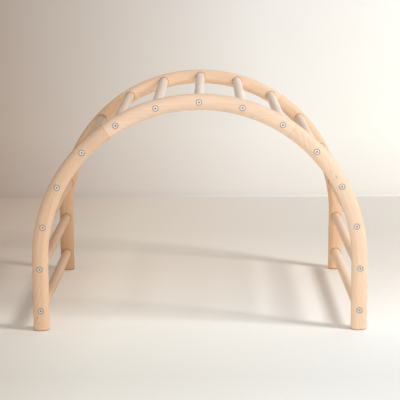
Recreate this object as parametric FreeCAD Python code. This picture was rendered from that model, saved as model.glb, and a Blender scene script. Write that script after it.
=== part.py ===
import FreeCAD, Part
import math
import os

from FreeCAD import Rotation, Vector

# A child's climbing arch ("monkey bars"): two rails, each a half circle that runs down into two straight
# legs, joined by a ladder of round rungs.
#
# Frame: millimetres, +Z up, the arch spans X and its two rails stand in planes of constant Y.
# The origin is on the floor, midway between the four feet. The front rail is the one at -Y.
#
# Each rail is sawn from three straight-grained boards, butted end to end and held by hidden dowels.
# Every rung sits in a blind socket in each rail. A furniture bolt goes through the rail from outside, its
# head in a counterbore, and pulls on a threaded insert in the rung's end.

# ---- Driving sizes ---------------------------------------------------------------------------------------

arch_radius = 500.0          # centre line of the rail
leg_length = 220.0           # straight part of each leg, from the floor up to where the half circle starts
rail_spacing = 820.0         # between the centre planes of the two rails

rail_depth = 50.0            # in the plane of the arch, inner curve to outer curve
rail_thickness = 44.0        # along Y, inside face to outside face
rail_edge_radius = 20.0      # the heavy round-over on all four long edges
rail_flat_min = 1.0          # flat left between two round-overs
foot_chamfer = 2.0           # eased edge round the bottom of each leg

rung_count = 15
rung_diameter = 32.0
lowest_rung_height = 64.0    # centre of the first and the last rung above the floor
socket_depth = 14.0          # how far a rung goes into the rail's inside face
socket_clearance = 0.1       # on the radius
rung_end_chamfer = 1.0

crown_rungs = 5              # rungs carried by the middle board of each rail
seam_wood = 18.0             # along the centre line, from the crown board's last rung to the seam

dowel_diameter = 8.0
dowel_length = 30.0
dowel_spacing = 22.0         # between the two dowels of a seam, across the rail's depth
dowel_clearance = 0.05       # on the radius
dowel_end_gap = 1.0          # glue space past each end of a dowel
dowel_chamfer = 0.8

bolt_diameter = 6.0
bolt_engagement = 22.5       # length of bolt inside the rung
bolt_head_diameter = 17.0
bolt_head_height = 2.2
bolt_head_chamfer = 0.7
bolt_key_size = 4.0          # across the flats of the hexagon socket
bolt_key_depth = 3.0
bolt_hole_clearance = 0.3    # on the radius, in the rail
counterbore_diameter = 19.0
counterbore_depth = 2.5

insert_diameter = 10.0
insert_length = 25.0
insert_recess = 0.5          # from the rung's end to the insert
insert_clearance = 0.05      # on the radius, insert in rung
thread_clearance = 0.05      # on the radius, bolt in insert
bore_end_gap = 2.0           # past the insert's inner end

# ---- Places that follow from them ------------------------------------------------------------------------

quarter_arc = math.pi * arch_radius / 2
rung_pitch = 2 * (quarter_arc + leg_length - lowest_rung_height) / (rung_count - 1)
crown_half_arc = (crown_rungs - 1) / 2 * rung_pitch + rung_diameter / 2 + seam_wood
crown_half_angle = math.degrees(crown_half_arc / arch_radius)

rail_plane = rail_spacing / 2
inside_face = rail_plane - rail_thickness / 2
outside_face = rail_plane + rail_thickness / 2
socket_floor = inside_face + socket_depth
head_seat = outside_face - counterbore_depth
bolt_length = head_seat - socket_floor + bolt_engagement

edge_radius = min(rail_edge_radius, (min(rail_thickness, rail_depth) - rail_flat_min) / 2)

FRONT, BACK = -1, 1          # side of the arch, along Y
LEFT, RIGHT = -1, 1          # side of the arch, along X

arch_centre = Vector(0, 0, leg_length)
along_y = Vector(0, 1, 0)


def spine(arc):
    """Point of the rail's centre line, in the plane Y = 0, at this signed distance from the top."""
    side = math.copysign(1, arc)
    distance = abs(arc)
    if distance > quarter_arc:
        return Vector(side * arch_radius, 0, leg_length - (distance - quarter_arc))
    angle = distance / arch_radius
    return Vector(side * arch_radius * math.sin(angle), 0, leg_length + arch_radius * math.cos(angle))


def rung_arcs():
    """Signed distance of each rung from the top of the arch, from the left foot over to the right foot."""
    middle = (rung_count - 1) / 2
    return [(number - middle) * rung_pitch for number in range(rung_count)]


def rod(radius, start, length, direction):
    """Solid cylinder."""
    return Part.makeCylinder(radius, length, start, direction)


# ---- Rails -----------------------------------------------------------------------------------------------

def rail_section(side, angle):
    """Face across the rail, a rectangle with heavily rounded corners, at this angle from the top."""
    middle = Vector(0, side * rail_plane, leg_length + arch_radius)
    flat_y = rail_thickness / 2 - edge_radius
    flat_z = rail_depth / 2 - edge_radius
    corners = []
    for quarter, (turn_y, turn_z) in enumerate(((1, 1), (-1, 1), (-1, -1), (1, -1))):
        pivot = middle + Vector(0, turn_y * flat_y, turn_z * flat_z)
        turns = [math.radians(90 * quarter + part) for part in (0, 45, 90)]
        corners.append([pivot + Vector(0, math.cos(turn), math.sin(turn)) * edge_radius for turn in turns])
    edges = []
    for corner, next_corner in zip(corners, corners[1:] + corners[:1]):
        edges.append(Part.Arc(*corner).toShape())
        edges.append(Part.makeLine(corner[-1], next_corner[0]))
    face = Part.Face(Part.Wire(edges))
    face.rotate(arch_centre, along_y, angle)
    return face


def crown_blank(side):
    """Middle board of a rail, before it is drilled."""
    return rail_section(side, -crown_half_angle).revolve(arch_centre, along_y, 2 * crown_half_angle)


def leg_blank(side, end):
    """Outer board of a rail, before it is drilled: the rest of the quarter circle and the straight leg."""
    section = rail_section(side, end * crown_half_angle)
    curve = section.revolve(arch_centre, along_y, end * (90 - crown_half_angle))
    leg = rail_section(side, end * 90).extrude(Vector(0, 0, -leg_length))
    blank = curve.fuse(leg).removeSplitter()
    foot_edges = [edge for edge in blank.Edges if edge.BoundBox.ZMax < 1e-4]
    return blank.makeChamfer(foot_chamfer, foot_edges)


def seam_plane(end):
    """Point on the seam at this end of the crown board, and the direction along the rail there."""
    angle = math.radians(end * crown_half_angle)
    return spine(end * crown_half_arc), Vector(math.cos(angle), 0, -math.sin(angle)) * end


def rung_drillings(side, arc):
    """Everything that is cut from a rail for one rung: socket, bolt hole and counterbore."""
    centre = spine(arc)
    outwards = Vector(0, side, 0)

    def at(distance):
        return centre + outwards * distance

    overrun = rail_thickness
    socket_radius = rung_diameter / 2 + socket_clearance
    socket = rod(socket_radius, at(inside_face - overrun), socket_depth + overrun, outwards)
    hole = rod(bolt_diameter / 2 + bolt_hole_clearance, at(inside_face), rail_thickness, outwards)
    counterbore = rod(counterbore_diameter / 2, at(head_seat), counterbore_depth + overrun, outwards)
    return [socket, hole, counterbore]


def dowel_axes(side, end):
    """Centre and direction of each dowel in one seam."""
    point, along = seam_plane(end)
    point = point + Vector(0, side * rail_plane, 0)
    outwards = Vector(-along.z * end, 0, along.x * end)
    return [(point + outwards * (step * dowel_spacing / 2), along) for step in (-1, 1)]


def dowel_holes(side, end):
    """The holes for both dowels of one seam, through both boards."""
    radius = dowel_diameter / 2 + dowel_clearance
    length = dowel_length + 2 * dowel_end_gap
    axes = dowel_axes(side, end)
    return [rod(radius, centre - along * (length / 2), length, along) for centre, along in axes]


def drilled(blank, cutters):
    """The board with its drillings, as one solid."""
    board = blank.cut(cutters)
    if len(board.Solids) != 1:
        raise RuntimeError("a board fell into %d pieces" % len(board.Solids))
    return board.Solids[0]


def rail_boards(side):
    """The three boards of one rail, by name."""
    cuts = {"left": [], "crown": [], "right": []}
    for arc in rung_arcs():
        place = "crown" if abs(arc) < crown_half_arc else ("left" if arc < 0 else "right")
        cuts[place] += rung_drillings(side, arc)
    for end, place in ((LEFT, "left"), (RIGHT, "right")):
        cuts[place] += dowel_holes(side, end)
        cuts["crown"] += dowel_holes(side, end)
    return {
        "left": drilled(leg_blank(side, LEFT), cuts["left"]),
        "crown": drilled(crown_blank(side), cuts["crown"]),
        "right": drilled(leg_blank(side, RIGHT), cuts["right"]),
    }


def seam_dowels(side, end):
    """The two fluted dowels of one seam, as plain pins with chamfered ends."""
    pins = []
    for centre, along in dowel_axes(side, end):
        pin = rod(dowel_diameter / 2, centre - along * (dowel_length / 2), dowel_length, along)
        rims = [edge for edge in pin.Edges if edge.Closed]
        pins.append(pin.makeChamfer(dowel_chamfer, rims).Solids[0])
    return pins


# ---- Rungs and their fastenings --------------------------------------------------------------------------

def rung(arc):
    """Round rung from socket floor to socket floor, bored at both ends for its inserts."""
    centre = spine(arc)
    body = rod(rung_diameter / 2, centre - along_y * socket_floor, 2 * socket_floor, along_y)
    rims = [edge for edge in body.Edges if edge.Closed]
    body = body.makeChamfer(rung_end_chamfer, rims)
    depth = insert_recess + insert_length + bore_end_gap
    for side in (FRONT, BACK):
        inwards = Vector(0, -side, 0)
        start = centre - inwards * (socket_floor + bore_end_gap)
        body = body.cut(rod(insert_diameter / 2 + insert_clearance, start, depth + bore_end_gap, inwards))
    return body.Solids[0]


def insert(side, arc):
    """Threaded sleeve in one end of a rung, its thread as a plain bore."""
    inwards = Vector(0, -side, 0)
    start = spine(arc) - inwards * (socket_floor - insert_recess)
    sleeve = rod(insert_diameter / 2, start, insert_length, inwards)
    bore = rod(bolt_diameter / 2 + thread_clearance, start - inwards, insert_length + 2, inwards)
    return sleeve.cut(bore).Solids[0]


def hexagon_prism(across_flats, start, length, direction):
    """Solid hexagonal prism, for a key socket."""
    corner = across_flats / math.sqrt(3)
    turn = Rotation(Vector(0, 0, 1), direction)
    corners = []
    for step in range(7):
        angle = math.radians(60 * step)
        corners.append(start + turn.multVec(Vector(corner * math.cos(angle), corner * math.sin(angle), 0)))
    return Part.Face(Part.makePolygon(corners)).extrude(direction * length)


def bolt(side, arc):
    """Furniture bolt with a flat chamfered head and a hexagon socket, its thread as a plain shank."""
    inwards = Vector(0, -side, 0)
    centre = spine(arc)
    seat = centre - inwards * head_seat
    top = seat - inwards * bolt_head_height
    head = rod(bolt_head_diameter / 2, top, bolt_head_height, inwards)
    rim = [edge for edge in head.Edges if edge.Closed and abs((edge.CenterOfMass - top).Length) < 1e-3]
    head = head.makeChamfer(bolt_head_chamfer, rim)
    shank = rod(bolt_diameter / 2, seat, bolt_length, inwards)
    key = hexagon_prism(bolt_key_size, top - inwards, bolt_key_depth + 1, inwards)
    return head.fuse(shank).removeSplitter().cut(key).Solids[0]


# ---- Nodes -----------------------------------------------------------------------------------------------

def nodes():
    """Every node by name, each a list of separate solids."""
    made = {}
    arcs = rung_arcs()
    for side, side_name in ((FRONT, "front"), (BACK, "back")):
        for place, board in rail_boards(side).items():
            made["%s_rail_%s" % (side_name, place)] = [board]
        for end, end_name in ((LEFT, "left"), (RIGHT, "right")):
            made["%s_%s_seam_dowels" % (side_name, end_name)] = seam_dowels(side, end)
        made["%s_bolts" % side_name] = [bolt(side, arc) for arc in arcs]
        made["%s_rung_inserts" % side_name] = [insert(side, arc) for arc in arcs]
    for number, arc in enumerate(arcs, start=1):
        made["rung_%02d" % number] = [rung(arc)]
    return made


def write(name, solids):
    """One STEP file for one node."""
    for solid in solids:
        if not solid.isValid() or solid.ShapeType != "Solid" or solid.Volume <= 0:
            raise RuntimeError("%s holds a bad solid" % name)
    shape = solids[0] if len(solids) == 1 else Part.makeCompound(solids)
    shape.exportStep("parts/%s.step" % name)


os.makedirs("parts", exist_ok=True)
for node_name, node_solids in nodes().items():
    write(node_name, node_solids)
print("rung pitch %.2f mm, crown half angle %.2f degrees, bolt %.1f mm long"
      % (rung_pitch, crown_half_angle, bolt_length))
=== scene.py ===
# %% [markdown]
# # A wooden climbing arch for small children
#
# Two rails, each a half circle on two short legs, carry fifteen round rungs. The load-bearing shapes come from the
# engineering model: the six sawn boards and the rungs stay as they are, and get their wood here. The bolts, the
# threaded inserts and the seam dowels are modelled here in more detail than the engineering model needs.

# %% Load the frame
import math

import bmesh
import bpy
from mathutils import Matrix, Vector


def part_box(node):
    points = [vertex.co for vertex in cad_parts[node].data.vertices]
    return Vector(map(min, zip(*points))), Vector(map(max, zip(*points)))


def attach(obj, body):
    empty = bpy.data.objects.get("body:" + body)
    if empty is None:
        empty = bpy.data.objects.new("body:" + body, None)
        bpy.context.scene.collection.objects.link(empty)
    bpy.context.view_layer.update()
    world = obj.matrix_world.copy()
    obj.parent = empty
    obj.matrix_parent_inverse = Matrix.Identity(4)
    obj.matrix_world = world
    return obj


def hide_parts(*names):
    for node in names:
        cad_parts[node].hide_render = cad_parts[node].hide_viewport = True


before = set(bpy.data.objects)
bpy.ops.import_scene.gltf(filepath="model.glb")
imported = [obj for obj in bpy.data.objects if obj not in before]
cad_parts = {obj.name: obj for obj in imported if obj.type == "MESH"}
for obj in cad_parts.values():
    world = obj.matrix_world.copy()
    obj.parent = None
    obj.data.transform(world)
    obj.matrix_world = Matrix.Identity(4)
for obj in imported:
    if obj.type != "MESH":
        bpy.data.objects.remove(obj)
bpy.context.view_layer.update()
bpy.context.scene.view_settings.view_transform = "Standard"

# %% [markdown]
# ## The sizes that everything else hangs on
#
# A rung's axis runs along Y. The axes sit at equal steps along the rail's centre line, which goes up one leg,
# round the half circle and down the other leg. The rails' boxes give the radius, and the lowest and the next rung
# give the step, so nothing is typed twice.

# %% Measure the arch
lowest_low, lowest_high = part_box("rung_01")
second_low, second_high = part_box("rung_02")
rail_low, rail_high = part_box("front_rail_left")
crown_low, crown_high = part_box("front_rail_crown")
RUNG_PITCH = (second_low.z + second_high.z - lowest_low.z - lowest_high.z) / 2
ARCH_RADIUS = -(lowest_low.x + lowest_high.x) / 2
RAIL_DEPTH = 2 * (-ARCH_RADIUS - rail_low.x)
LEG_LENGTH = crown_high.z - RAIL_DEPTH / 2 - ARCH_RADIUS
SEAM_ANGLE = math.asin(crown_high.x / (ARCH_RADIUS + RAIL_DEPTH / 2))
OUTSIDE_FACE = -rail_low.y
INSIDE_FACE = -rail_high.y
RAIL_PLANE = (OUTSIDE_FACE + INSIDE_FACE) / 2
RUNG_RADIUS = (lowest_high.x - lowest_low.x) / 2
RUNG_COUNT = 15
print("radius %.4f, leg %.4f, pitch %.5f, outside face %.4f" % (ARCH_RADIUS, LEG_LENGTH, RUNG_PITCH, OUTSIDE_FACE))
print("seam at %.2f degrees from the top" % math.degrees(SEAM_ANGLE))


def rung_axis(number):
    """X and Z of a rung's axis; rung 1 is at the left foot and rung 8 at the top."""
    arc = (number - (RUNG_COUNT + 1) / 2) * RUNG_PITCH
    quarter = math.pi * ARCH_RADIUS / 2
    side = math.copysign(1, arc)
    if abs(arc) > quarter:
        return side * ARCH_RADIUS, LEG_LENGTH - (abs(arc) - quarter)
    return ARCH_RADIUS * math.sin(arc / ARCH_RADIUS), LEG_LENGTH + ARCH_RADIUS * math.cos(arc / ARCH_RADIUS)


# %% [markdown]
# ## The camera
#
# A long lens, a little above the arch and almost square to it. The camera's axes are worked out from three small
# angles, which is plainer than an Euler turn when the camera also leans a little.

# %% Place the camera
CAMERA_PLACE = Vector((0.02754, -4.58374, 1.19342))
CAMERA_YAW, CAMERA_PITCH, CAMERA_ROLL = (math.radians(angle) for angle in (-0.355, 10.584, -0.285))
SENSOR_WIDTH = 36.0
LENS_PER_SENSOR = 3.42015

forward = Vector((math.sin(CAMERA_YAW) * math.cos(CAMERA_PITCH), math.cos(CAMERA_YAW) * math.cos(CAMERA_PITCH),
                  -math.sin(CAMERA_PITCH)))
level = Vector((math.cos(CAMERA_YAW), -math.sin(CAMERA_YAW), 0))
upward = level.cross(forward)
right = level * math.cos(CAMERA_ROLL) + upward * math.sin(CAMERA_ROLL)
up = upward * math.cos(CAMERA_ROLL) - level * math.sin(CAMERA_ROLL)
camera_data = bpy.data.cameras.new("camera")
camera_data.sensor_width = SENSOR_WIDTH
camera_data.lens = SENSOR_WIDTH * LENS_PER_SENSOR
camera = bpy.data.objects.new("camera", camera_data)
camera.matrix_world = Matrix.Translation(CAMERA_PLACE) @ Matrix((right, up, -forward)).transposed().to_4x4()
bpy.context.scene.collection.objects.link(camera)
bpy.context.scene.camera = camera
print("lens %.1f mm" % camera_data.lens)

# %% [markdown]
# ## Small helpers
#
# Every operator acts on what is selected, so each piece starts by letting go of everything. A node helper keeps the
# materials short: a value that is a socket becomes a link, and anything else is typed into the socket.

# %% Helpers
def let_go():
    """Leaves edit mode and selects nothing."""
    if bpy.context.object and bpy.context.object.mode != "OBJECT":
        bpy.ops.object.mode_set(mode="OBJECT")
    bpy.ops.object.select_all(action="DESELECT")


def add_node(tree, kind, settings=None, **inputs):
    """New node with its settings and inputs; in0 is the first input, and a name's underscores are spaces."""
    made = tree.nodes.new(kind)
    for name, value in (settings or {}).items():
        setattr(made, name, value)
    for name, value in inputs.items():
        numbered = name.startswith("in") and name[2:].isdigit()
        socket = made.inputs[int(name[2:])] if numbered else made.inputs[name.replace("_", " ")]
        if isinstance(value, bpy.types.NodeSocket):
            tree.links.new(value, socket)
        else:
            socket.default_value = value
    return made


def sum_up(tree, operation, first, second=0.0, third=0.0, clamp=False):
    """Output of a Math node."""
    made = add_node(tree, "ShaderNodeMath", {"operation": operation, "use_clamp": clamp}, in0=first, in1=second)
    if operation in ("MULTIPLY_ADD", "COMPARE"):
        if isinstance(third, bpy.types.NodeSocket):
            tree.links.new(third, made.inputs[2])
        else:
            made.inputs[2].default_value = third
    return made.outputs[0]


def blend_colours(tree, factor, first, second, mode="MIX"):
    """Output of a Mix node on colours."""
    made = add_node(tree, "ShaderNodeMix", {"data_type": "RGBA", "blend_type": mode}, in0=factor,
                    in6=first, in7=second)
    return made.outputs[2]


def ramp(tree, factor, stops):
    """Output of a Color Ramp; stops are (place, colour) with the colour as grey or as red, green and blue."""
    made = add_node(tree, "ShaderNodeValToRGB", in0=factor)
    elements = made.color_ramp.elements
    while len(elements) < len(stops):
        elements.new(0.5)
    for element, (place, colour) in zip(elements, stops):
        element.position = place
        element.color = (colour, colour, colour, 1) if isinstance(colour, float) else (*colour, 1)
    return made.outputs[0]


def new_group(name, inputs, outputs):
    """Empty shader node group with named sockets, and its input and output nodes."""
    tree = bpy.data.node_groups.new(name, "ShaderNodeTree")
    for label, kind, value in inputs:
        socket = tree.interface.new_socket(name=label, in_out="INPUT", socket_type=kind)
        if value is not None:
            socket.default_value = value
    for label, kind in outputs:
        tree.interface.new_socket(name=label, in_out="OUTPUT", socket_type=kind)
    return tree, tree.nodes.new("NodeGroupInput"), tree.nodes.new("NodeGroupOutput")


def use_group(tree, group, **inputs):
    """The group placed in a material, with its own values."""
    made = tree.nodes.new("ShaderNodeGroup")
    made.node_tree = group
    for name, value in inputs.items():
        socket = made.inputs[name.replace("_", " ")]
        if isinstance(value, bpy.types.NodeSocket):
            tree.links.new(value, socket)
        else:
            socket.default_value = value
    return made


def new_material(name):
    """Material with only a Principled shader, its tree, and that shader."""
    material = bpy.data.materials.new(name)
    material.use_nodes = True
    tree = material.node_tree
    tree.nodes.clear()
    shader = tree.nodes.new("ShaderNodeBsdfPrincipled")
    output = tree.nodes.new("ShaderNodeOutputMaterial")
    tree.links.new(shader.outputs[0], output.inputs[0])
    return material, tree, shader


def paint(piece, material):
    """Gives a piece one material."""
    piece.data.materials.clear()
    piece.data.materials.append(material)


# %% [markdown]
# ## The studio's paint
#
# A pale floor meets a pale wall behind the arch. The light comes from the right, so both are brighter there, and
# the wall falls off to a warm grey on the left. Lamps alone don't give that, so the paint itself changes tone: one
# run of tones from left to right, times another one away from the eye or up the wall. The wall also glows a little,
# as a wall does that gets light from all of a big room.

# %% Studio paint
FLOOR_FRONT = -0.9
WALL_GLOW = 0.35
WALL_Y = 1.94
WALL_HEIGHT = 4.5
WALL_WIDTH = 14
COVE = 0.05


def studio_paint(name, tones_across, along_axis, along_from, along_to, tones_along, glow, see_through):
    """Matt paint: one run of tones from left to right, times another along the floor or up the wall."""
    material, tree, shader = new_material(name)
    place = add_node(tree, "ShaderNodeTexCoord").outputs["Object"]
    axes = add_node(tree, "ShaderNodeSeparateXYZ", in0=place).outputs
    across = add_node(tree, "ShaderNodeMapRange", {"clamp": True}, in0=axes["X"], in1=-1.0, in2=1.0).outputs[0]
    along = add_node(tree, "ShaderNodeMapRange", {"clamp": True}, in0=axes[along_axis], in1=along_from,
                     in2=along_to).outputs[0]
    tone = blend_colours(tree, 1.0, ramp(tree, across, tones_across), ramp(tree, along, tones_along), "MULTIPLY")
    tree.links.new(tone, shader.inputs["Base Color"])
    tree.links.new(tone, shader.inputs["Emission Color"])
    shader.inputs["Emission Strength"].default_value = glow
    shader.inputs["Roughness"].default_value = 0.9
    shader.inputs["Specular IOR Level"].default_value = 0.1
    if see_through:
        back = add_node(tree, "ShaderNodeNewGeometry").outputs["Backfacing"]
        clear = add_node(tree, "ShaderNodeBsdfTransparent").outputs[0]
        mixed = add_node(tree, "ShaderNodeMixShader", in0=back, in1=shader.outputs[0], in2=clear).outputs[0]
        tree.links.new(mixed, tree.nodes["Material Output"].inputs[0])
    return material


FLOOR_ACROSS = [(0.0, (0.79, 0.69, 0.62)),
                (0.35, (0.97, 0.96, 0.90)),
                (0.65, (0.96, 0.97, 0.95)),
                (1.0, (0.94, 0.97, 0.97))]
FLOOR_ALONG = [(0.0, (0.84, 0.83, 0.82)),
               (0.2, (1.00, 1.00, 1.00)),
               (0.45, (0.91, 0.85, 0.81)),
               (0.7, (0.85, 0.78, 0.73)),
               (1.0, (0.88, 0.81, 0.77))]
WALL_ACROSS = [(0.0, (0.44, 0.36, 0.30)),
               (0.35, (0.64, 0.58, 0.52)),
               (0.65, (0.80, 0.77, 0.72)),
               (1.0, (0.87, 0.85, 0.79))]
WALL_ALONG = [(0.0, (0.85, 0.84, 0.84)),
              (0.035, (0.92, 0.90, 0.90)),
              (0.3, (1.00, 1.00, 1.00)),
              (1.0, (0.92, 0.93, 0.96))]
print("paint with", len(FLOOR_ACROSS), "tones across the floor and", len(WALL_ACROSS), "across the wall")

# %% [markdown]
# ### The floor
#
# One very large sheet, so that its edge is out of sight from every side. It lies half a millimetre under the feet,
# so that the feet and the floor don't share a face.

# %% Floor
FLOOR_SIZE = 40
FLOOR_DROP = 0.0005
let_go()
bpy.ops.mesh.primitive_plane_add(size=FLOOR_SIZE, location=(0, 0, -FLOOR_DROP))
studio_floor = bpy.context.object
studio_floor.name = "studio_floor"
bpy.ops.object.transform_apply(location=True, rotation=False, scale=True)
paint(studio_floor, studio_paint("floor_paint", FLOOR_ACROSS, "Y", FLOOR_FRONT, WALL_Y, FLOOR_ALONG, 0.0, False))
print("floor", FLOOR_SIZE, "m square")

# %% [markdown]
# ### The wall
#
# The wall has a small cove at its foot, so that no hard crease shows where it meets the floor. It can be seen only
# from the front: its back is clear, and a view from behind isn't blocked.

# %% Wall
AT_FOOT = 0.01
LIP = 1.2 * COVE
let_go()
bpy.ops.mesh.primitive_plane_add(size=1, location=(0, WALL_Y, 0), rotation=(math.radians(90), 0, 0))
studio_wall = bpy.context.object
studio_wall.name = "studio_wall"
studio_wall.scale = (WALL_WIDTH, WALL_HEIGHT, 1)
studio_wall.location.z = WALL_HEIGHT / 2
bpy.ops.object.transform_apply(location=True, rotation=True, scale=True)
bpy.ops.object.mode_set(mode="EDIT")
mesh = bmesh.from_edit_mesh(studio_wall.data)
for edge in mesh.edges:
    edge.select_set(all(vertex.co.z < AT_FOOT for vertex in edge.verts))
bmesh.update_edit_mesh(studio_wall.data)
bpy.ops.mesh.extrude_edges_move(TRANSFORM_OT_translate={"value": (0, -LIP, 0)})
mesh = bmesh.from_edit_mesh(studio_wall.data)
for edge in mesh.edges:
    edge.select_set(all(vertex.co.z < AT_FOOT and vertex.co.y > WALL_Y - AT_FOOT for vertex in edge.verts))
bmesh.update_edit_mesh(studio_wall.data)
bpy.ops.mesh.bevel(offset=COVE, segments=8, affect="EDGES")
bpy.ops.object.mode_set(mode="OBJECT")
studio_wall.data.shade_smooth()
paint(studio_wall, studio_paint("wall_paint", WALL_ACROSS, "Z", 0.0, 1.0, WALL_ALONG, WALL_GLOW, True))
print("wall faces", [tuple(round(value, 2) for value in face.normal) for face in studio_wall.data.polygons][:3])

# %% [markdown]
# ## The lamps
#
# A key from the right, high and a little in front, makes the long soft shadows to the left. A weak fill, low down
# in front, keeps the rails' faces bright.

# %% Lamps
LAMP_AIM = Vector((0, 0, 0.3))
KEY_POWER = 180
FILL_POWER = 28


def soft_light(name, direction, distance, size, power, colour):
    """Square area light that looks at the middle of the arch."""
    data = bpy.data.lights.new(name, "AREA")
    data.shape = "SQUARE"
    data.size = size
    data.energy = power
    data.color = colour
    lamp = bpy.data.objects.new(name, data)
    lamp.location = LAMP_AIM + Vector(direction).normalized() * distance
    lamp.rotation_euler = (LAMP_AIM - lamp.location).to_track_quat("-Z", "Y").to_euler()
    bpy.context.scene.collection.objects.link(lamp)


soft_light("key_light", (0.738, -0.325, 0.591), 5.5, 1.2, KEY_POWER, (1.0, 1.0, 1.0))
soft_light("fill_light", (0.10, -1.0, 0.14), 3.0, 1.2, FILL_POWER, (1.0, 0.98, 0.98))
print("key %d W, fill %d W" % (KEY_POWER, FILL_POWER))

# %% [markdown]
# ## The surround
#
# The room gives light too: a warm glow from the left, strongest low down, as from a sunlit wall, and an even pale
# light from above. Past the edge of the floor the eye sees a plain pale grey, and not the bright surround.

# %% Surround
WARM_LEFT = (1.62, 1.48, 1.26)
PALE_ABOVE = (0.40, 0.41, 0.41)
PALE_GREY = (0.78, 0.75, 0.72, 1)
world = bpy.data.worlds.new("surround")
world.use_nodes = True
sky = world.node_tree
background = sky.nodes["Background"]
facing = add_node(sky, "ShaderNodeTexCoord").outputs["Generated"]
ways = add_node(sky, "ShaderNodeSeparateXYZ", in0=facing).outputs
low_down = sum_up(sky, "MULTIPLY_ADD", ways["Z"], -1.2, 1.0, clamp=True)
leftwards = sum_up(sky, "MULTIPLY", ways["X"], -1.0, clamp=True)
from_left = sum_up(sky, "MULTIPLY", leftwards, low_down)
from_above = sum_up(sky, "MULTIPLY", ways["Z"], 1.0, clamp=True)
warm = add_node(sky, "ShaderNodeVectorMath", {"operation": "SCALE"}, in0=WARM_LEFT, Scale=from_left).outputs[0]
cool = add_node(sky, "ShaderNodeVectorMath", {"operation": "SCALE"}, in0=PALE_ABOVE, Scale=from_above).outputs[0]
glow = add_node(sky, "ShaderNodeVectorMath", {"operation": "ADD"}, in0=warm, in1=cool).outputs[0]
sky.links.new(glow, background.inputs[0])
background.inputs[1].default_value = 1.0
backdrop = add_node(sky, "ShaderNodeBackground", in0=PALE_GREY).outputs[0]
looking = add_node(sky, "ShaderNodeLightPath").outputs["Is Camera Ray"]
seen = add_node(sky, "ShaderNodeMixShader", in0=looking, in1=background.outputs[0], in2=backdrop)
sky.links.new(seen.outputs[0], sky.nodes["World Output"].inputs[0])
bpy.context.scene.world = world
print("surround of", len(sky.nodes), "nodes")

# %% [markdown]
# ## Where on the arch am I?
#
# Several finishes depend on how far a point is from the nearest rung's axis: the painted shade round each socket,
# and the painted shade in each bolt head's key hole and on its rim. This group works that out from the point's
# place alone. Along the half circle it uses the angle, and along a leg the height.

# %% Group: distance from the nearest rung axis
arch_place, group_in, group_out = new_group(
    "place_on_arch", [("Position", "NodeSocketVector", None)],
    [("Axis Distance", "NodeSocketFloat"), ("Along", "NodeSocketFloat")])
axes = add_node(arch_place, "ShaderNodeSeparateXYZ", in0=group_in.outputs[0]).outputs
height = sum_up(arch_place, "SUBTRACT", axes["Z"], LEG_LENGTH)
on_arch = sum_up(arch_place, "GREATER_THAN", height, 0.0)
reach = sum_up(arch_place, "SQRT", sum_up(arch_place, "ADD", sum_up(arch_place, "MULTIPLY", axes["X"], axes["X"]),
                                          sum_up(arch_place, "MULTIPLY", height, height)))
sideways = sum_up(arch_place, "ABSOLUTE", axes["X"])
angle = sum_up(arch_place, "ARCTAN2", sideways, height)
across_arch = sum_up(arch_place, "SUBTRACT", reach, ARCH_RADIUS)
across_leg = sum_up(arch_place, "SUBTRACT", sideways, ARCH_RADIUS)
along_arch = sum_up(arch_place, "MULTIPLY", angle, ARCH_RADIUS)
along_leg = sum_up(arch_place, "SUBTRACT", math.pi * ARCH_RADIUS / 2, height)


def either(tree, choice, if_true, if_false):
    """if_true where choice is 1, and if_false where it is 0."""
    return sum_up(tree, "MULTIPLY_ADD", choice, sum_up(tree, "SUBTRACT", if_true, if_false), if_false)


along = either(arch_place, on_arch, along_arch, along_leg)
across = either(arch_place, on_arch, across_arch, across_leg)
steps = sum_up(arch_place, "DIVIDE", along, RUNG_PITCH)
step_off = sum_up(arch_place, "SUBTRACT", steps, sum_up(arch_place, "ROUND", steps))
stretch = sum_up(arch_place, "MULTIPLY_ADD", across, sum_up(arch_place, "DIVIDE", on_arch, ARCH_RADIUS), 1.0)
along_off = sum_up(arch_place, "MULTIPLY", sum_up(arch_place, "MULTIPLY", step_off, RUNG_PITCH), stretch)
axis_distance = sum_up(arch_place, "SQRT", sum_up(
    arch_place, "ADD", sum_up(arch_place, "MULTIPLY", along_off, along_off),
    sum_up(arch_place, "MULTIPLY", across, across)))
arch_place.links.new(axis_distance, group_out.inputs["Axis Distance"])
arch_place.links.new(along, group_out.inputs["Along"])
print("place_on_arch has", len(arch_place.nodes), "nodes")

# %% [markdown]
# ## Wood
#
# The rails are pale, straight-grained beech with a matt finish. A board's figure comes from its growth rings:
# thin shells round the tree's heart, which the saw cuts at a slant. So the pattern is made in space, as rings round
# a far-off line along the grain, and the shape cuts it as the saw did. Slow streaks, fine fibres and the short
# flecks of beech lie over it. The group takes a position whose X runs along the grain.

# %% Group: sawn wood
wood_grain, group_in, group_out = new_group(
    "wood_grain",
    [("Position", "NodeSocketVector", None), ("Pale", "NodeSocketColor", (0.8, 0.6, 0.4, 1)),
     ("Deep", "NodeSocketColor", (0.6, 0.4, 0.25, 1)), ("Ring Spacing", "NodeSocketFloat", 0.004),
     ("Ring Strength", "NodeSocketFloat", 0.4), ("Fleck Strength", "NodeSocketFloat", 0.4)],
    [("Color", "NodeSocketColor"), ("Roughness", "NodeSocketFloat"), ("Height", "NodeSocketFloat")])


def stretched_noise(tree, position, stretch, detail, rough=0.5):
    """Noise that is drawn out along the grain; stretch is how many cells to the metre along and across."""
    scaled = add_node(tree, "ShaderNodeMapping", in0=position)
    scaled.inputs["Scale"].default_value = (stretch[0], stretch[1], stretch[1])
    return add_node(tree, "ShaderNodeTexNoise", {"normalize": True}, Vector=scaled.outputs[0], Scale=1.0,
                    Detail=detail, Roughness=rough).outputs[0]


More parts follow.
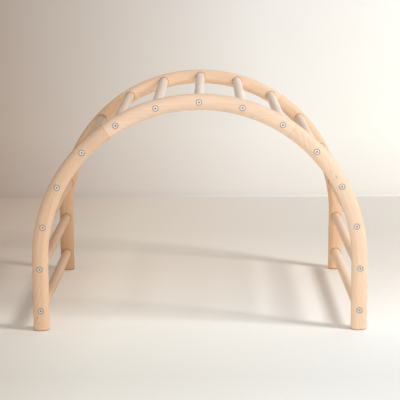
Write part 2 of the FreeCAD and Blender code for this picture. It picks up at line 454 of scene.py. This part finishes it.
position = group_in.outputs["Position"]
waver = stretched_noise(wood_grain, position, (1.6, 6.0), 2.0)
wobble = stretched_noise(wood_grain, position, (7.0, 60.0), 2.0)
parts = add_node(wood_grain, "ShaderNodeSeparateXYZ", in0=position).outputs
heart_distance = sum_up(wood_grain, "SQRT", sum_up(
    wood_grain, "ADD", sum_up(wood_grain, "MULTIPLY", parts["Y"], parts["Y"]),
    sum_up(wood_grain, "MULTIPLY", parts["Z"], parts["Z"])))
heart_distance = sum_up(wood_grain, "MULTIPLY_ADD", waver, 0.020, heart_distance)
heart_distance = sum_up(wood_grain, "MULTIPLY_ADD", wobble, 0.003, heart_distance)
year = sum_up(wood_grain, "FRACT", sum_up(wood_grain, "DIVIDE", heart_distance, group_in.outputs["Ring Spacing"]))
late_wood = ramp(wood_grain, year, [(0.0, 0.30), (0.40, 0.0), (0.85, 1.0), (1.0, 0.30)])
streaks = stretched_noise(wood_grain, position, (3.0, 150.0), 3.0, 0.6)
fibres = stretched_noise(wood_grain, position, (60.0, 1500.0), 2.0, 0.6)
tone = stretched_noise(wood_grain, position, (2.0, 14.0), 1.0)
flecks = ramp(wood_grain, stretched_noise(wood_grain, position, (190.0, 1500.0), 1.0), [(0.63, 0.0), (0.72, 1.0)])
depth = sum_up(wood_grain, "MULTIPLY", late_wood, group_in.outputs["Ring Strength"])
depth = sum_up(wood_grain, "MULTIPLY_ADD", ramp(wood_grain, streaks, [(0.32, 0.0), (0.70, 1.0)]), 0.34, depth)
depth = sum_up(wood_grain, "MULTIPLY_ADD", ramp(wood_grain, tone, [(0.30, 0.0), (0.70, 1.0)]), 0.26, depth)
depth = sum_up(wood_grain, "MULTIPLY_ADD", ramp(wood_grain, fibres, [(0.30, 0.0), (0.70, 1.0)]), 0.12, depth)
depth = sum_up(wood_grain, "MULTIPLY_ADD", flecks, group_in.outputs["Fleck Strength"], depth, clamp=True)
colour = blend_colours(wood_grain, depth, group_in.outputs["Pale"], group_in.outputs["Deep"])
wood_grain.links.new(colour, group_out.inputs["Color"])
rough = sum_up(wood_grain, "MULTIPLY_ADD", fibres, 0.16, 0.44)
wood_grain.links.new(sum_up(wood_grain, "MULTIPLY_ADD", late_wood, -0.05, rough), group_out.inputs["Roughness"])
wood_grain.links.new(sum_up(wood_grain, "MULTIPLY_ADD", flecks, -0.6, fibres), group_out.inputs["Height"])
print("wood_grain has", len(wood_grain.nodes), "nodes")

# %% [markdown]
# ### Dark seams and painted shade at joints
#
# The glued seams read as a thin darker line. Round the mouths of the sockets, round each counterbore and along the
# eased edge of each foot, a thin dark line is painted shade, where the pieces meet and shade falls. One group makes
# that mask for any rail board. A knot is a small dark eye in the board, longer along the grain.

# %% Group: seams and painted shade
# Brown for the dark seam lines, and for the painted shade at sockets, counterbores, feet and rung ends.
JOINT_AND_SHADE_BROWN = (0.26, 0.13, 0.06, 1)
KNOT_BROWN = (0.34, 0.17, 0.08, 1)
RIM_LINE_RADIUS = 0.0092
SEAM_DARK, FOOT_SHADE, MOUTH_SHADE, RIM_SHADE = 0.45, 0.8, 0.85, 0.40
seams_and_painted_shade, group_in, group_out = new_group(
    "seams_and_painted_shade", [("Position", "NodeSocketVector", None)], [("Dark", "NodeSocketFloat")])


def narrow_line(tree, distance, half_width):
    """1 where distance is 0, falling to 0 at half_width."""
    share = sum_up(tree, "DIVIDE", sum_up(tree, "ABSOLUTE", distance), half_width)
    return sum_up(tree, "SUBTRACT", 1.0, share, clamp=True)


SEAM_ALONG = SEAM_ANGLE * ARCH_RADIUS
spot = use_group(seams_and_painted_shade, arch_place, Position=group_in.outputs[0])
seam = narrow_line(seams_and_painted_shade, sum_up(seams_and_painted_shade, "SUBTRACT", spot.outputs["Along"], SEAM_ALONG), 0.0010)
place_axes = add_node(seams_and_painted_shade, "ShaderNodeSeparateXYZ", in0=group_in.outputs[0]).outputs
inside = sum_up(seams_and_painted_shade, "LESS_THAN", sum_up(seams_and_painted_shade, "ABSOLUTE", place_axes["Y"]), RAIL_PLANE)
outside = sum_up(seams_and_painted_shade, "SUBTRACT", 1.0, inside)
# Painted shade: a dark line round each socket's mouth, round each counterbore and along each foot's eased edge.
mouth = narrow_line(seams_and_painted_shade, sum_up(seams_and_painted_shade, "SUBTRACT", spot.outputs["Axis Distance"], RUNG_RADIUS),
                    0.0032)
rim = narrow_line(seams_and_painted_shade, sum_up(seams_and_painted_shade, "SUBTRACT", spot.outputs["Axis Distance"], RIM_LINE_RADIUS),
                  0.0012)
foot = narrow_line(seams_and_painted_shade, place_axes["Z"], 0.0045)
dark = sum_up(seams_and_painted_shade, "MULTIPLY", seam, SEAM_DARK)
dark = sum_up(seams_and_painted_shade, "MULTIPLY_ADD", foot, FOOT_SHADE, dark)
dark = sum_up(seams_and_painted_shade, "MULTIPLY_ADD", sum_up(seams_and_painted_shade, "MULTIPLY", mouth, inside), MOUTH_SHADE, dark)
dark = sum_up(seams_and_painted_shade, "MULTIPLY_ADD", sum_up(seams_and_painted_shade, "MULTIPLY", rim, outside), RIM_SHADE, dark, clamp=True)
seams_and_painted_shade.links.new(dark, group_out.inputs["Dark"])
print("seams_and_painted_shade has", len(seams_and_painted_shade.nodes), "nodes")

# %% [markdown]
# ### Rail boards
#
# Each rail is three boards, and each board's grain follows its own plank: level in the crown, and nearly upright in
# the legs, leaning in at the top. One material is made for each board, with the grain turned its way and the tree's
# heart somewhere else, so no two boards match.

# %% Rail wood
FOOT_TO_SEAM = (1.8, -0.18)  # times the height in metres, and plus: 0 just above the foot, 1 at the seams


def knot_mask(tree, place, middle, slope, half_length, half_width):
    """1 in the eye of a knot, falling to 0 at its edge; slope is the grain's, in degrees from level."""
    moved = add_node(tree, "ShaderNodeVectorMath", {"operation": "SUBTRACT"}, in0=place, in1=middle).outputs[0]
    turned = add_node(tree, "ShaderNodeMapping", in0=moved)
    turned.inputs["Rotation"].default_value = (0, math.radians(slope), 0)
    sized = add_node(tree, "ShaderNodeMapping", in0=turned.outputs[0])
    sized.inputs["Scale"].default_value = (1 / half_length, 1 / 0.02, 1 / half_width)
    length = add_node(tree, "ShaderNodeVectorMath", {"operation": "LENGTH"}, in0=sized.outputs[0]).outputs["Value"]
    return sum_up(tree, "SUBTRACT", 1.0, length, clamp=True)


def rail_wood(name, grain_slope, heart, painted_shades, knots):
    """Wood for one board; grain_slope is the grain's slope from level, in degrees, seen from the front.

    The fourth argument gives how much of the palest board's red, green and blue it keeps, near the floor and at seam
    height: painted shade and light.
    """
    material, tree, shader = new_material(name)
    place = add_node(tree, "ShaderNodeTexCoord").outputs["Object"]
    turned = add_node(tree, "ShaderNodeMapping", in0=place)
    turned.inputs["Rotation"].default_value = (0, math.radians(grain_slope), 0)
    turned.inputs["Location"].default_value = heart
    grain = use_group(tree, wood_grain, Position=turned.outputs[0], Pale=(*PALE_RAIL, 1), Deep=(*DEEP_RAIL, 1),
                      Ring_Spacing=0.0075, Ring_Strength=0.26, Fleck_Strength=0.24)
    height = add_node(tree, "ShaderNodeSeparateXYZ", in0=place).outputs["Z"]
    # Painted shade and light: the tone changes with height, darker towards the foot on the leg boards.
    up_leg = sum_up(tree, "MULTIPLY_ADD", height, *FOOT_TO_SEAM, clamp=True)
    painted_height_shade = ramp(tree, up_leg, [(0.0, painted_shades[0]), (1.0, painted_shades[1])])
    colour = blend_colours(tree, 1.0, grain.outputs["Color"], painted_height_shade, "MULTIPLY")
    for middle, half_length, half_width, strength in knots:
        eye = knot_mask(tree, place, middle, grain_slope, half_length, half_width)
        colour = blend_colours(tree, sum_up(tree, "MULTIPLY", eye, strength), colour, KNOT_BROWN)
    joints = use_group(tree, seams_and_painted_shade, Position=place)
    colour = blend_colours(tree, joints.outputs["Dark"], colour, JOINT_AND_SHADE_BROWN)
    tree.links.new(colour, shader.inputs["Base Color"])
    tree.links.new(grain.outputs["Roughness"], shader.inputs["Roughness"])
    bump = add_node(tree, "ShaderNodeBump", Height=grain.outputs["Height"], Strength=0.35, Distance=0.0003)
    tree.links.new(bump.outputs[0], shader.inputs["Normal"])
    shader.inputs["Specular IOR Level"].default_value = 0.3
    return material


PALE_RAIL, DEEP_RAIL = (0.87, 0.66, 0.50), (0.74, 0.515, 0.36)
print("palest and deepest rail wood", PALE_RAIL, DEEP_RAIL)

# %% [markdown]
# ### The six boards
#
# For each board: the grain's slope, where the tree's heart lies, how much of the palest tone the board keeps near
# the floor and at the seam, and its knots. A knot has a middle, a half length, a half width and a strength. The
# kept tones are painted shade and light: the two left boards are the reddest, more so towards the foot, the back
# legs are darker at the foot, and the back crown is painted brighter than the palest wood.

# %% Boards
FRONT_FACE = -OUTSIDE_FACE
FULL_TONE = (1.0, 1.0, 1.0)
# Painted light: the back crown is painted brighter than the palest wood.
BACK_CROWN_PAINTED_LIGHT = (1.10, 1.08, 1.02)
BOARDS = {
    "front_rail_left": (76, (0.31, -0.075, 0.060), ((0.86, 0.79, 0.70), (0.87, 0.83, 0.79)),
                        [((-0.511, FRONT_FACE, 0.042), 0.006, 0.003, 0.7),
                         ((-0.507, FRONT_FACE, 0.024), 0.004, 0.002, 0.6)]),
    "front_rail_crown": (1, (0.00, 0.340, -0.780), (FULL_TONE, FULL_TONE), []),
    "front_rail_right": (-75, (0.77, 0.355, -0.420), ((0.99, 0.98, 0.95), FULL_TONE),
                         [((0.422, FRONT_FACE, 0.488), 0.010, 0.004, 0.5),
                          ((0.405, FRONT_FACE, 0.505), 0.007, 0.003, 0.35)]),
    "back_rail_left": (78, (1.37, -0.480, 0.110), ((0.66, 0.54, 0.42), (1.08, 1.00, 0.88)), []),
    "back_rail_crown": (-2, (2.10, -0.320, -0.620), (BACK_CROWN_PAINTED_LIGHT, BACK_CROWN_PAINTED_LIGHT),
                        [((0.120, OUTSIDE_FACE, 0.700), 0.008, 0.003, 0.45)]),
    "back_rail_right": (-73, (0.52, -0.300, -0.480), ((0.99, 0.90, 0.78), (1.08, 1.06, 0.99)), []),
}
for board, (grain_slope, heart, painted_shades, knots) in BOARDS.items():
    paint(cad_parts[board], rail_wood(board + "_wood", grain_slope, heart, painted_shades, knots))
print("painted", len(BOARDS), "boards")

# %% [markdown]
# ### Rungs and dowels
#
# The rungs are turned from paler, pinker lengths of the same wood, with the grain along each rung. All rungs share
# one material: each one lies in a different place, so each cuts a different part of the tree. The rungs are
# painted redder and darker at the left foot and palest just right of the top, a run of painted shade and light
# from left to right. The rung's ends are a little darker with painted shade where they go into the rails.

# %% Rung wood
def turned_wood(name, pale, deep, end_shade, painted_shades):
    """Wood whose grain runs along Y, for rungs and dowels; shades run from the left foot to the right."""
    material, tree, shader = new_material(name)
    place = add_node(tree, "ShaderNodeTexCoord").outputs["Object"]
    turned = add_node(tree, "ShaderNodeMapping", in0=place)
    turned.inputs["Rotation"].default_value = (0, 0, math.radians(90))
    turned.inputs["Location"].default_value = (0.4, 0.31, -0.17)
    grain = use_group(tree, wood_grain, Position=turned.outputs[0], Pale=(*pale, 1), Deep=(*deep, 1),
                      Ring_Spacing=0.0050, Ring_Strength=0.34, Fleck_Strength=0.30)
    axes = add_node(tree, "ShaderNodeSeparateXYZ", in0=place).outputs
    # Painted shade and light: a run of tones from the left foot to the right.
    across_span = sum_up(tree, "MULTIPLY_ADD", axes["X"], 0.5 / ARCH_RADIUS, 0.5)
    colour = blend_colours(tree, 1.0, grain.outputs["Color"], ramp(tree, across_span, painted_shades), "MULTIPLY")
    # Painted shade at each end, where the rung goes into a rail.
    end = narrow_line(tree, sum_up(tree, "SUBTRACT", sum_up(tree, "ABSOLUTE", axes["Y"]), INSIDE_FACE), 0.0030)
    colour = blend_colours(tree, sum_up(tree, "MULTIPLY", end, end_shade), colour, JOINT_AND_SHADE_BROWN)
    tree.links.new(colour, shader.inputs["Base Color"])
    tree.links.new(grain.outputs["Roughness"], shader.inputs["Roughness"])
    bump = add_node(tree, "ShaderNodeBump", Height=grain.outputs["Height"], Strength=0.35, Distance=0.0003)
    tree.links.new(bump.outputs[0], shader.inputs["Normal"])
    shader.inputs["Specular IOR Level"].default_value = 0.3
    return material


rung_wood = turned_wood("rung_wood", (0.98, 0.86, 0.765), (0.83, 0.675, 0.58), 0.5,
                        [(0.03, (0.67, 0.52, 0.39)), (0.12, (0.92, 0.80, 0.66)), (0.24, (0.82, 0.75, 0.67)),
                         (0.37, (0.88, 0.86, 0.83)), (0.50, (0.94, 0.94, 0.95)), (0.63, (1.0, 1.0, 1.0)),
                         (0.80, (1.0, 0.98, 0.96)), (0.97, (0.95, 0.84, 0.71))])
dowel_wood = turned_wood("dowel_wood", (0.80, 0.62, 0.45), (0.64, 0.45, 0.30), 0.0, [(0.0, 0.94), (1.0, 1.0)])
for number in range(1, RUNG_COUNT + 1):
    paint(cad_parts["rung_%02d" % number], rung_wood)
for rail_name in ("front", "back"):
    for end_name in ("left", "right"):
        paint(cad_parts["%s_%s_seam_dowels" % (rail_name, end_name)], dowel_wood)
print("painted", RUNG_COUNT, "rungs")

# %% [markdown]
# ### Metal
#
# The bolts are bright zinc: turned on a lathe, so fine rings run round the head, and rubbed a little duller in
# patches. Painted shade darkens the key hole and the rounded rim, and the middle of each insert round its bore. The
# inserts are a yellowish zinc alloy with a cast surface.

# %% Metals
def turned_metal(name, bright, dull, roughness, ring_strength, painted_axis_shade):
    """Metal with lathe rings about the nearest rung's axis, and cloudy patches.

    The last argument lists (distance from the axis in cm, how much of the metal's brightness is left): painted shade
    in the key hole and at the rim.
    """
    material, tree, shader = new_material(name)
    place = add_node(tree, "ShaderNodeTexCoord").outputs["Object"]
    spot = use_group(tree, arch_place, Position=place)
    rings = add_node(tree, "ShaderNodeTexNoise", {"noise_dimensions": "1D"}, W=spot.outputs["Axis Distance"],
                     Scale=5200.0, Detail=2.0).outputs[0]
    clouds = add_node(tree, "ShaderNodeTexNoise", Vector=place, Scale=420.0, Detail=3.0).outputs[0]
    cloudy = ramp(tree, clouds, [(0.35, 0.0), (0.70, 1.0)])
    colour = blend_colours(tree, cloudy, (*bright, 1), (*dull, 1))
    # Painted shade: the ramp by distance from the axis darkens the key hole and the rim.
    centimetres = sum_up(tree, "MULTIPLY", spot.outputs["Axis Distance"], 100.0)
    tree.links.new(blend_colours(tree, 1.0, colour, ramp(tree, centimetres, painted_axis_shade), "MULTIPLY"),
                   shader.inputs["Base Color"])
    shader.inputs["Metallic"].default_value = 1.0
    tree.links.new(sum_up(tree, "MULTIPLY_ADD", cloudy, 0.12, roughness), shader.inputs["Roughness"])
    bump = add_node(tree, "ShaderNodeBump", Height=rings, Strength=ring_strength, Distance=0.00004)
    tree.links.new(bump.outputs[0], shader.inputs["Normal"])
    return material


bright_steel = turned_metal("bright_steel", (0.81, 0.78, 0.76), (0.65, 0.64, 0.63), 0.56, 0.35,
                            [(0.18, (0.34, 0.38, 0.42)), (0.36, (0.78, 0.80, 0.82)), (0.48, (1.0, 1.0, 1.0)),
                             (0.63, (0.96, 0.93, 0.91)), (0.81, (0.44, 0.36, 0.31))])
zinc_alloy = turned_metal("zinc_alloy", (0.80, 0.74, 0.62), (0.62, 0.56, 0.45), 0.45, 0.15,
                          [(0.25, (0.6, 0.6, 0.6)), (0.40, (1.0, 1.0, 1.0))])
for node, metal in (("front_bolts", bright_steel), ("back_bolts", bright_steel),
                    ("front_rung_inserts", zinc_alloy), ("back_rung_inserts", zinc_alloy)):
    paint(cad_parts[node], metal)
print("metals", bright_steel.name, "and", zinc_alloy.name)

# %% [markdown]
# ## Turned pieces
#
# Bolts, inserts and dowels are all turned, so they start the same way: a half profile, drawn point by point, is
# spun once round the Z axis. A thread is a V-shaped tooth that climbs as it turns; the Screw modifier does just
# that, and two flat cuts close its ends. Each piece is shaped upright at the origin, then copied to its places.

# %% Shaping helpers
def pick(test):
    """In edit mode, selects just the vertices whose place passes the test, and the edges between them."""
    mesh = bmesh.from_edit_mesh(bpy.context.object.data)
    bpy.ops.mesh.select_all(action="DESELECT")
    for vertex in mesh.verts:
        vertex.select_set(test(vertex.co))
    mesh.select_flush(True)
    bmesh.update_edit_mesh(bpy.context.object.data)


def draw_profile(name, points):
    """New piece in edit mode: one line through the points, which are (radius, height) pairs."""
    let_go()
    bpy.ops.mesh.primitive_plane_add(size=0.001)
    piece = bpy.context.object
    piece.name = name
    bpy.ops.object.mode_set(mode="EDIT")
    bpy.ops.mesh.select_mode(type="VERT")
    bpy.ops.mesh.merge(type="CENTER")
    bpy.ops.transform.translate(value=(points[0][0], 0, points[0][1]))
    for (radius, height), (next_radius, next_height) in zip(points, points[1:]):
        step = (next_radius - radius, 0, next_height - height)
        bpy.ops.mesh.extrude_region_move(TRANSFORM_OT_translate={"value": step})
    return piece


def close_up():
    """Welds doubled points, turns all faces outwards and leaves edit mode."""
    bpy.ops.mesh.select_all(action="SELECT")
    bpy.ops.mesh.remove_doubles(threshold=0.000005)
    bpy.ops.mesh.normals_make_consistent(inside=False)
    bpy.ops.object.mode_set(mode="OBJECT")


def turn(name, points, steps=48):
    """Turned piece about Z, left in edit mode; a profile that starts and ends on the axis closes itself."""
    piece = draw_profile(name, points)
    bpy.ops.mesh.select_all(action="SELECT")
    bpy.ops.mesh.spin(steps=steps, angle=2 * math.pi, center=(0, 0, 0), axis=(0, 0, 1))
    bpy.ops.mesh.select_all(action="SELECT")
    bpy.ops.mesh.remove_doubles(threshold=0.000005)
    return piece


def thread(name, root, crest, flat, pitch, low, high, steps=24):
    """Closed threaded rod about Z from low to high; flat is the length of plain root between two teeth.

    It starts half a step early, so that no corner lies just on an end cut.
    """
    tooth = pitch - flat
    start = low - pitch * (1 + 0.5 / steps)
    piece = draw_profile(name, [(root, start), (root, start + flat), (crest, start + flat + tooth / 2),
                                (root, start + pitch)])
    bpy.ops.object.mode_set(mode="OBJECT")
    climb = piece.modifiers.new("climb", "SCREW")
    climb.axis = "Z"
    climb.screw_offset = pitch
    climb.iterations = int(math.ceil((high - low) / pitch)) + 2
    climb.steps = steps
    climb.render_steps = steps
    bpy.ops.object.modifier_apply(modifier="climb")
    bpy.ops.object.mode_set(mode="EDIT")
    bpy.ops.mesh.select_all(action="SELECT")
    bpy.ops.mesh.remove_doubles(threshold=0.000005)
    bpy.ops.mesh.select_all(action="SELECT")
    bpy.ops.mesh.bisect(plane_co=(0, 0, low), plane_no=(0, 0, 1), clear_inner=True, use_fill=True,
                        threshold=0.000001)
    bpy.ops.mesh.select_all(action="SELECT")
    bpy.ops.mesh.bisect(plane_co=(0, 0, high), plane_no=(0, 0, 1), clear_outer=True, use_fill=True,
                        threshold=0.000001)
    close_up()
    return piece


def copy_to(pattern, name, matrix, node):
    """Own copy of the pattern at its place, riding with the arch and standing for part of a node."""
    let_go()
    pattern.select_set(True)
    bpy.context.view_layer.objects.active = pattern
    bpy.ops.object.duplicate(linked=False)
    piece = bpy.context.object
    piece.name = name
    piece.data.name = name
    piece.matrix_world = matrix
    bpy.ops.object.transform_apply(location=True, rotation=True, scale=True)
    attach(piece, "root")
    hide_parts(node)


def check_closed(piece):
    """Prints the size of a piece and counts the edges that don't join exactly two faces."""
    mesh = bmesh.new()
    mesh.from_mesh(piece.data)
    loose = sum(1 for edge in mesh.edges if len(edge.link_faces) != 2)
    volume = mesh.calc_volume(signed=True) * 1e9
    triangles = sum(len(face.verts) - 2 for face in mesh.faces)
    mesh.free()
    print("%s: %d triangles, %d open edges, %.0f cubic mm" % (piece.name, triangles, loose, volume))


# %% [markdown]
# ### The bolt
#
# A furniture bolt: a wide flat head with an eased rim, a hexagon socket for the key, a plain neck through the rail
# and a thread where it meets the insert. The hexagon is drawn with as many points as the head has, so the two can
# be bridged into a clean top face.

# %% Bolt
bolts_low, bolts_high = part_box("front_bolts")
inserts_low, inserts_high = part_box("front_rung_inserts")
HEAD_RADIUS = 0.0085
HEAD_HEIGHT = 0.0022
SHANK_RADIUS = 0.0030
KEY_WIDTH = 0.004
KEY_DEPTH = 0.003
SEAT = -bolts_low.y - HEAD_HEIGHT
SHANK_LENGTH = bolts_high.y + SEAT
THREAD_START = inserts_low.y + SEAT - 0.003
KEY_RIM = HEAD_HEIGHT - 0.0004
THREAD_PITCH = 0.001
THREAD_DEPTH = 0.00055
THREAD_FLAT = 0.0001
bolt = turn("bolt_pattern", [
    (0, -THREAD_START), (SHANK_RADIUS - 0.0002, -THREAD_START), (SHANK_RADIUS, -THREAD_START + 0.0002),
    (SHANK_RADIUS, -0.0004), (SHANK_RADIUS + 0.0004, 0), (HEAD_RADIUS - 0.0002, 0), (HEAD_RADIUS, 0.0002),
    (HEAD_RADIUS, HEAD_HEIGHT - 0.0009), (HEAD_RADIUS - 0.00025, HEAD_HEIGHT - 0.0004),
    (HEAD_RADIUS - 0.0007, HEAD_HEIGHT - 0.0001), (HEAD_RADIUS - 0.0012, HEAD_HEIGHT),
    (0.0036, HEAD_HEIGHT), (0.0028, HEAD_HEIGHT - 0.00015)])
bpy.ops.mesh.select_all(action="DESELECT")
bpy.ops.mesh.primitive_circle_add(vertices=6, radius=KEY_WIDTH / math.sqrt(3),
                                  location=(0, 0, KEY_RIM), fill_type="NOTHING")
bpy.ops.mesh.subdivide(number_cuts=7)
pick(lambda at: at.z > HEAD_HEIGHT - 0.0005 and math.hypot(at.x, at.y) < 0.0030)
bpy.ops.mesh.bridge_edge_loops()
pick(lambda at: abs(at.z - KEY_RIM) < 0.00001 and math.hypot(at.x, at.y) < 0.0025)
bpy.ops.mesh.extrude_edges_move(TRANSFORM_OT_translate={"value": (0, 0, 0.0004 - KEY_DEPTH)})
bpy.ops.mesh.extrude_edges_move(TRANSFORM_OT_translate={"value": (0, 0, -0.0004)})
bpy.ops.mesh.merge(type="CENTER")
close_up()

# %% [markdown]
# ### The bolt's thread
#
# The last half of the shank carries a metric thread. It is made as a rod of its own and joined to the head.

# %% Bolt thread
shank_thread = thread("shank_thread", SHANK_RADIUS - THREAD_DEPTH, SHANK_RADIUS, THREAD_FLAT, THREAD_PITCH,
                      -SHANK_LENGTH, -THREAD_START)
let_go()
shank_thread.select_set(True)
bolt.select_set(True)
bpy.context.view_layer.objects.active = bolt
bpy.ops.object.join()
bpy.ops.object.shade_smooth_by_angle(angle=math.radians(35))
paint(bolt, bright_steel)
check_closed(bolt)

# %% [markdown]
# ### The insert
#
# A threaded sleeve that is driven into the rung's end: a coarse wood thread outside, a bore for the bolt, and a
# screwdriver slot across its outer end.

# %% Insert
INSERT_LENGTH = inserts_high.y - inserts_low.y
INSERT_ROOT, INSERT_CREST = 0.0043, 0.0050
WOOD_THREAD_FLAT, WOOD_THREAD_PITCH = 0.0022, 0.0035
BORE_RADIUS = SHANK_RADIUS + 0.00005
PAST_END = 0.001
SLOT_WIDTH, SLOT_DEPTH = 0.0018, 0.0025
insert = thread("insert_pattern", INSERT_ROOT, INSERT_CREST, WOOD_THREAD_FLAT, WOOD_THREAD_PITCH,
                -INSERT_LENGTH, 0, steps=32)
bore = turn("bore", [(0, -INSERT_LENGTH - PAST_END), (BORE_RADIUS, -INSERT_LENGTH - PAST_END),
                     (BORE_RADIUS, PAST_END), (0, PAST_END)])
close_up()
let_go()
bpy.ops.mesh.primitive_cube_add(size=1, location=(0, 0, 0))
slot = bpy.context.object
slot.scale = (SLOT_WIDTH, 0.014, 2 * SLOT_DEPTH)
bpy.ops.object.transform_apply(location=True, rotation=True, scale=True)
for cutter in (bore, slot):
    let_go()
    insert.select_set(True)
    bpy.context.view_layer.objects.active = insert
    cut = insert.modifiers.new("cut", "BOOLEAN")
    cut.operation = "DIFFERENCE"
    cut.solver = "EXACT"
    cut.object = cutter
    bpy.ops.object.modifier_apply(modifier="cut")
    bpy.data.objects.remove(cutter)
bpy.ops.object.shade_smooth_by_angle(angle=math.radians(35))
paint(insert, zinc_alloy)
check_closed(insert)

# %% [markdown]
# ### The seam dowel
#
# A fluted pin with eased ends. The flutes let glue and air out of the blind hole; every third line of points along
# the side is drawn in to make one.

# %% Seam dowel
DOWEL_RADIUS = 0.004
DOWEL_LENGTH = 0.030
DOWEL_SPACING = 0.022
EASED_END = 0.0008
TURNING_STEP = 7.5
FLUTE_DRAW = 0.90
half = DOWEL_LENGTH / 2
dowel = turn("dowel_pattern", [(0, -half), (DOWEL_RADIUS - EASED_END, -half), (DOWEL_RADIUS, -half + EASED_END),
                               (DOWEL_RADIUS, half - EASED_END), (DOWEL_RADIUS - EASED_END, half), (0, half)])
pick(lambda at: math.hypot(at.x, at.y) > DOWEL_RADIUS - 0.0001
     and round(math.degrees(math.atan2(at.y, at.x)) / TURNING_STEP) % 3 == 0)
bpy.ops.transform.resize(value=(FLUTE_DRAW, FLUTE_DRAW, 1), center_override=(0, 0, 0))
close_up()
bpy.ops.object.shade_smooth_by_angle(angle=math.radians(30))
paint(dowel, dowel_wood)
check_closed(dowel)

# %% [markdown]
# ### Set every fastener in its place
#
# A rung has a bolt and an insert at each end; a seam has two dowels. Each bolt stops at its own turn, as it would
# when it is tightened by hand.

# %% Copies
BOLT_TURN = math.radians(137.5)
outer_end = -inserts_low.y
for number in range(1, RUNG_COUNT + 1):
    x, z = rung_axis(number)
    for side_name, side in (("front", -1), ("back", 1)):
        outwards = Matrix.Rotation(-side * math.radians(90), 4, "X")
        spin = Matrix.Rotation(number * BOLT_TURN, 4, "Z")
        copy_to(bolt, "%s_bolt_%02d" % (side_name, number),
                Matrix.Translation((x, side * SEAT, z)) @ outwards @ spin, side_name + "_bolts")
        copy_to(insert, "%s_insert_%02d" % (side_name, number),
                Matrix.Translation((x, side * outer_end, z)) @ outwards @ spin, side_name + "_rung_inserts")
for side_name, side in (("front", -1), ("back", 1)):
    for end_name, end in (("left", -1), ("right", 1)):
        angle = end * SEAM_ANGLE
        along_rail = Matrix.Rotation(angle + math.radians(90), 4, "Y")
        for step, level_name in ((-1, "lower"), (1, "upper")):
            reach = ARCH_RADIUS + step * DOWEL_SPACING / 2
            middle = (reach * math.sin(angle), side * RAIL_PLANE, LEG_LENGTH + reach * math.cos(angle))
            copy_to(dowel, "%s_%s_%s_dowel" % (side_name, end_name, level_name),
                    Matrix.Translation(middle) @ along_rail, "%s_%s_seam_dowels" % (side_name, end_name))
for pattern in (bolt, insert, dowel):
    bpy.data.objects.remove(pattern)
print("placed", 4 * RUNG_COUNT + 8, "fasteners")
